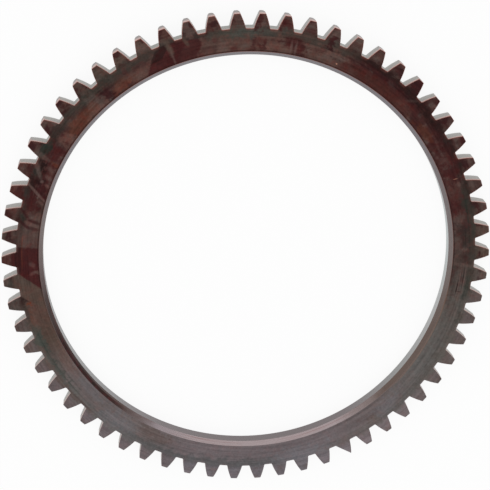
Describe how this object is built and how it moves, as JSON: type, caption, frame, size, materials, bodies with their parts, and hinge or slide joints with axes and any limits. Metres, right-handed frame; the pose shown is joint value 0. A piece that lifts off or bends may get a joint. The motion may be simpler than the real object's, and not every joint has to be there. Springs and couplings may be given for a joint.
{
  "type": "ring gear",
  "caption": "Flat steel ring gear with spur teeth round its outer edge and a plain chamfered bore, made to be shrunk onto a flywheel rim.",
  "frame": {"origin": "centre of the bore at the back face, which the ring lies on", "axes": "+Z along the gear's axis, out of the front face, and +X through the middle of tooth 0"},
  "size_m": [0.1618, 0.1616, 0.0064],
  "materials": {
    "tinted_steel": "turned, heat-tinted brown and lightly oiled"
  },
  "bodies": {
    "root": {"ring_gear": "tinted_steel"}
  },
  "joints": []
}
